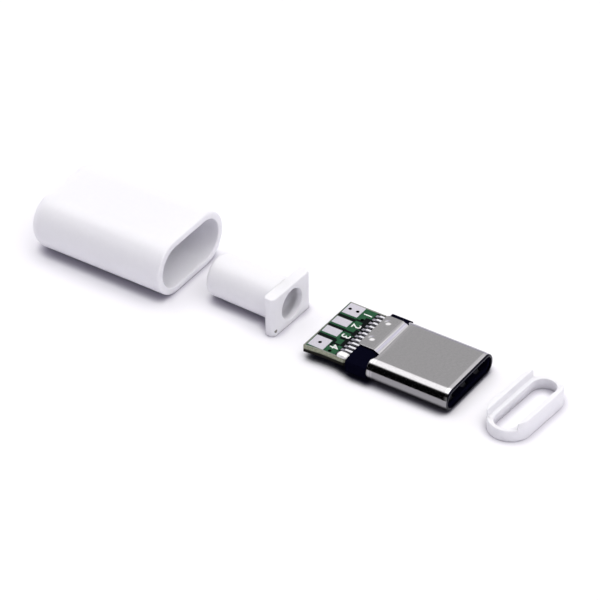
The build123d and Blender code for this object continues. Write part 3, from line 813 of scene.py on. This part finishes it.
def ring_body():
    """Rings of (height, radius) round the oval: outer wall, rim, top, slot with its seat, bottom. In the
    columns of the two ribs, which end at RIB_END of each arc, the rim is RIB_HIGH higher, and its inner wall
    is flat, at RIB_WALL inside the plate's side."""
    terms = ring_terms(24, 26, None, extra=(RIB_END - 0.002, RIB_END + 0.002))
    core, r = (RING_LONG - RING_WIDE) / 2, RING_WIDE / 2
    rib = np.abs(terms[:, 3]) > math.sin(RIB_END * math.pi / 2)
    inside = np.where(rib, (r - RIB_WALL) / np.maximum(np.abs(terms[:, 3]), 0.5), r - 0.15)
    edge = np.where(rib, np.minimum(0.08, (r - inside) / 2.5), 0.1)
    raised, fine = np.where(rib, RIB_HIGH, 0.0), np.where(rib, edge, 0.0)
    ones = np.ones(len(terms))
    rows = [(h * ones, q * ones) for h, q in arc_pairs(RING_ROUND, r - RING_ROUND, RING_ROUND, 180, 90, 6)]
    rows += [(RING_THICK + raised - edge * (1 - math.sin(a)), r - edge * (1 - math.cos(a)))
             for a in np.radians(np.linspace(0, 90, 6))]
    rows += [(RING_THICK + raised, inside + fine),
             (RING_THICK + raised - 0.3 * fine, inside + 0.3 * fine - 0.005),
             (RING_THICK + raised - fine, inside - 0.01), (RING_THICK + 0.5 * fine, inside - 0.02),
             (RING_THICK * ones, inside - 0.06)]
    upper, lower = SLOT_WIDE / 2, SLOT_WIDE / 2 + SLOT_STEP
    slot = arc_pairs(RING_THICK - SLOT_ROUND, upper + SLOT_ROUND, SLOT_ROUND, 360, 270, 5)
    slot += [(SLOT_LIP + 0.02, upper), (SLOT_LIP, upper + 0.02), (SLOT_LIP, lower - 0.02),
             (SLOT_LIP - 0.02, lower), (0.05, lower), (0.0, lower + 0.05)]
    grid = [np.column_stack([h, terms[:, 0] * core + q * terms[:, 2], q * terms[:, 3]]) for h, q in rows]
    slot_core = (SLOT_LONG - SLOT_WIDE) / 2
    grid += list(ring_rows(terms, [(h, slot_core, 0, q) for h, q in slot]))
    return lay_flat(np.array(grid))


ring_zero = np.array([(ring_low[0] + ring_high[0]) / 2, (ring_low[1] + ring_high[1]) / 2, 0.0])
front_ring = skin("ring_skin", [(turned(ring_body(), RING_TURN, ring_zero), True)])
sharpen(front_ring, 50)
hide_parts("front_ring")
front_ring.data.materials.append(white_gloss)

# %% [markdown]
# ## The plug shell
# The shell is drawn from thin stainless sheet: an oval cup with its nose rolled in, and a tongue
# pressed down on each side at the rear, which holds the moulded block. The cup is rings along a
# profile. A tongue is a sheet section carried along a bent path, with two small bumps pressed up.

# %% Shape the shell's cup
SHELL_WALL, SHELL_LONG, EAR = 0.2, 8.55, 0.32
NOSE_LONG, NOSE_DROP, NOSE_ROUND, NOSE_THICK, NOSE_LIP = 0.5, 0.05, 0.14, 0.2, 0.12
TONGUE_WIDE, TONGUE_OFF, TONGUE_JOG, RAMP, TONGUE_LONG, TONGUE_TOP = 5.15, 0.88, 0.6, 1.0, 1.75, 0.95
shell_r = (shell_high[2] - shell_low[2]) / 2
shell_core = (shell_high[1] - shell_low[1]) / 2 - shell_r


def shell_cup():
    """Rings along the outside, over the tapered nose and back along the inside. Behind, the last millimetre
    is drawn out by EAR where the ring is outside the tongue's root, so an ear stands on each side."""
    terms = ring_terms(28, 40, None)
    inner = shell_r - SHELL_WALL
    lip = inner - NOSE_LIP
    front_r = shell_r - 0.8 * NOSE_DROP - NOSE_ROUND
    profile = arc_pairs(-SHELL_LONG + 0.03, shell_r - 0.03, 0.03, 180, 90, 4)
    profile += [(x, shell_r) for x in np.linspace(-SHELL_LONG + 0.1, -NOSE_LONG - 0.02, 12)]
    profile += [(-NOSE_LONG + 0.02, shell_r - 0.002)]
    profile += arc_pairs(-NOSE_ROUND, front_r, NOSE_ROUND, 84, 0, 8)
    profile += [(0, lip + 0.04), (-0.04, lip), (-NOSE_THICK, lip), (-NOSE_THICK - 0.02, lip + 0.02),
                (-NOSE_THICK - 0.1, inner), (-SHELL_LONG + 1, inner), (-SHELL_LONG + 0.03, inner),
                (-SHELL_LONG, inner + 0.03)]
    grid = ring_rows(terms, [(x, shell_core, 0, r) for x, r in profile])
    root = TONGUE_WIDE / 2 + TONGUE_OFF - TONGUE_JOG
    outside = np.clip((np.abs(grid[..., 1]) - root) / (1.5 * EAR), 0, 1)
    grid[..., 0] -= EAR * outside * np.clip(-grid[..., 0] - SHELL_LONG + 1, 0, 1)
    return grid + plug_zero


# %% Shape the tongues
BUMP_R, BUMP_HIGH, BUMP_APART, BUMP_SHIFT, BUMP_PLACE = 0.45, 0.07, 2.8, 0.2, 0.62
CORNER = TONGUE_LONG / 6


def tongue(side):
    """Sheet section carried from inside the shell's wall down the ramp and along the flat. Side is 1 above
    and -1 below, where the whole tongue is turned half round the plug's axis."""
    terms = ring_terms(4, 110, 2)
    start, end = -SHELL_LONG, -(SHELL_LONG + RAMP)
    last = end - TONGUE_LONG
    x = np.concatenate([np.linspace(start + 0.2, start + 0.05, 3), np.linspace(start, last, 84)])
    t = np.clip((x - start) / (end - start), 0, 1)
    top = shell_r - 0.0005 - (shell_r - TONGUE_TOP) * (t - 0.07 * np.sin(2 * np.pi * t))
    half = SHELL_WALL / 2
    corner = CORNER - np.sqrt(CORNER ** 2 - np.clip(CORNER - (x - last), 0, CORNER) ** 2)
    e = 0.03
    grid = ring_rows(terms, np.column_stack([x, TONGUE_WIDE / 2 - e - corner, np.full_like(x, half - e),
                                             np.full_like(x, e)]))
    grid[..., 1] += (TONGUE_OFF - TONGUE_JOG * (1 - t))[:, None]
    grid[..., 2] += (top - half)[:, None]
    middle = end - TONGUE_LONG * BUMP_PLACE
    for place in (-1, 1):
        across = TONGUE_OFF + BUMP_SHIFT + place * BUMP_APART / 2
        away = np.hypot(grid[..., 0] - middle, grid[..., 1] - across)
        dome = BUMP_HIGH * (1 - np.clip(away / BUMP_R, 0, 1) ** 2) ** 2
        grid[..., 2] += np.where(grid[..., 2] > (top - half)[:, None], dome, 0)
    if side < 0:
        grid[..., 1:] *= -1
    return grid + plug_zero


shell = skin("shell_skin", [(shell_cup(), True), (tongue(1), False), (tongue(-1), False)])
sharpen(shell, 40)
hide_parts("plug_shell")
shell.data.materials.append(drawn_steel)

# %% [markdown]
# ## Solder
# Hand-made joints are drops: rounded on top, with feet that spread on the pad. The large one over
# the last tail is the brightest thing on the board. A drop is a bump over an oval foot: its height
# is a power of the distance from the middle, so it is steep at the foot and flat on top.

# %% Put the large solder joints on
DROP_PLACE, DROP_HALF_X, DROP_HALF_Y, DROP_HIGH = (-11.82, -3.46, 0.42), 0.60, 0.42, 0.30


def solder_drop(side):
    """Height = DROP_HIGH * (1 - s ** 3) ** 0.6 over a rounded box foot, where s runs from 1 at the foot to 0
    at the top. Side is 1 above the board and -1 below."""
    terms = ring_terms(10, 6, 6)
    s = np.concatenate([np.linspace(1, 0.8, 7), np.linspace(0.72, 0.08, 9)])
    foot_r = min(DROP_HALF_X, DROP_HALF_Y) * 0.75
    grid = ring_rows(terms, np.column_stack([DROP_HIGH * (1 - s ** 3) ** 0.6, (DROP_HALF_Y - foot_r) * s,
                                             (DROP_HALF_X - foot_r) * s, foot_r * s]))
    lying = np.stack([grid[..., 2], grid[..., 1], grid[..., 0]], axis=-1) + DROP_PLACE
    if side < 0:
        lying[..., 1:] *= -1
    return lying + plug_zero


for side, label in ((1, "top"), (-1, "bottom")):
    drop = skin("ground_drop_" + label, [(solder_drop(side), False)])
    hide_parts("ground_solder_" + label)
    drop.data.materials.append(wet_solder)

# %% [markdown]
# ## Numbers on the board
# The four wire pads are numbered in white print. A text curve gives clean numerals; it is made a
# mesh and put in place there, because a finished piece sits at the origin.

# %% Print the pad numbers
white_print = finish("white_print", (0.85, 0.86, 0.85), (0.72, 0.74, 0.72), 0.1, 0.5, 0.05, 0.2)
NUMBER_X, NUMBER_SIZE, PRINT_THICK, PRINT_BOLD = -13.28, 1.3, 0.004, 0.012


def pad_number(text, y):
    """Numeral whose middle is at NUMBER_X, y in plug millimetres, with its head towards the plug."""
    curve = bpy.data.curves.new("numeral", "FONT")
    curve.body = text
    curve.size = NUMBER_SIZE
    curve.align_x, curve.align_y = "CENTER", "CENTER"
    curve.extrude = PRINT_THICK
    curve.offset = PRINT_BOLD
    holder = bpy.data.objects.new("numeral", curve)
    bpy.context.scene.collection.objects.link(holder)
    bpy.context.view_layer.update()
    mesh = bpy.data.meshes.new_from_object(holder.evaluated_get(bpy.context.evaluated_depsgraph_get()))
    bpy.data.objects.remove(holder)
    flat = np.empty(len(mesh.vertices) * 3)
    mesh.vertices.foreach_get("co", flat)
    flat = flat.reshape(-1, 3)
    top = board_high[2] + 0.006
    placed = np.column_stack([plug_zero[0] + NUMBER_X + flat[:, 1], plug_zero[1] + y - flat[:, 0],
                              top + flat[:, 2]])
    mesh.vertices.foreach_set("co", (placed * MM).ravel())
    mesh.update()
    piece = bpy.data.objects.new("pad_number_" + text, mesh)
    bpy.context.scene.collection.objects.link(piece)
    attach(piece, "root")
    mesh.materials.clear()
    mesh.materials.append(white_print)
    print(piece.name, len(mesh.polygons), "faces")


for text, y in (("1", 2.95), ("2", 0.95), ("3", -0.85), ("4", -2.75)):
    pad_number(text, y)
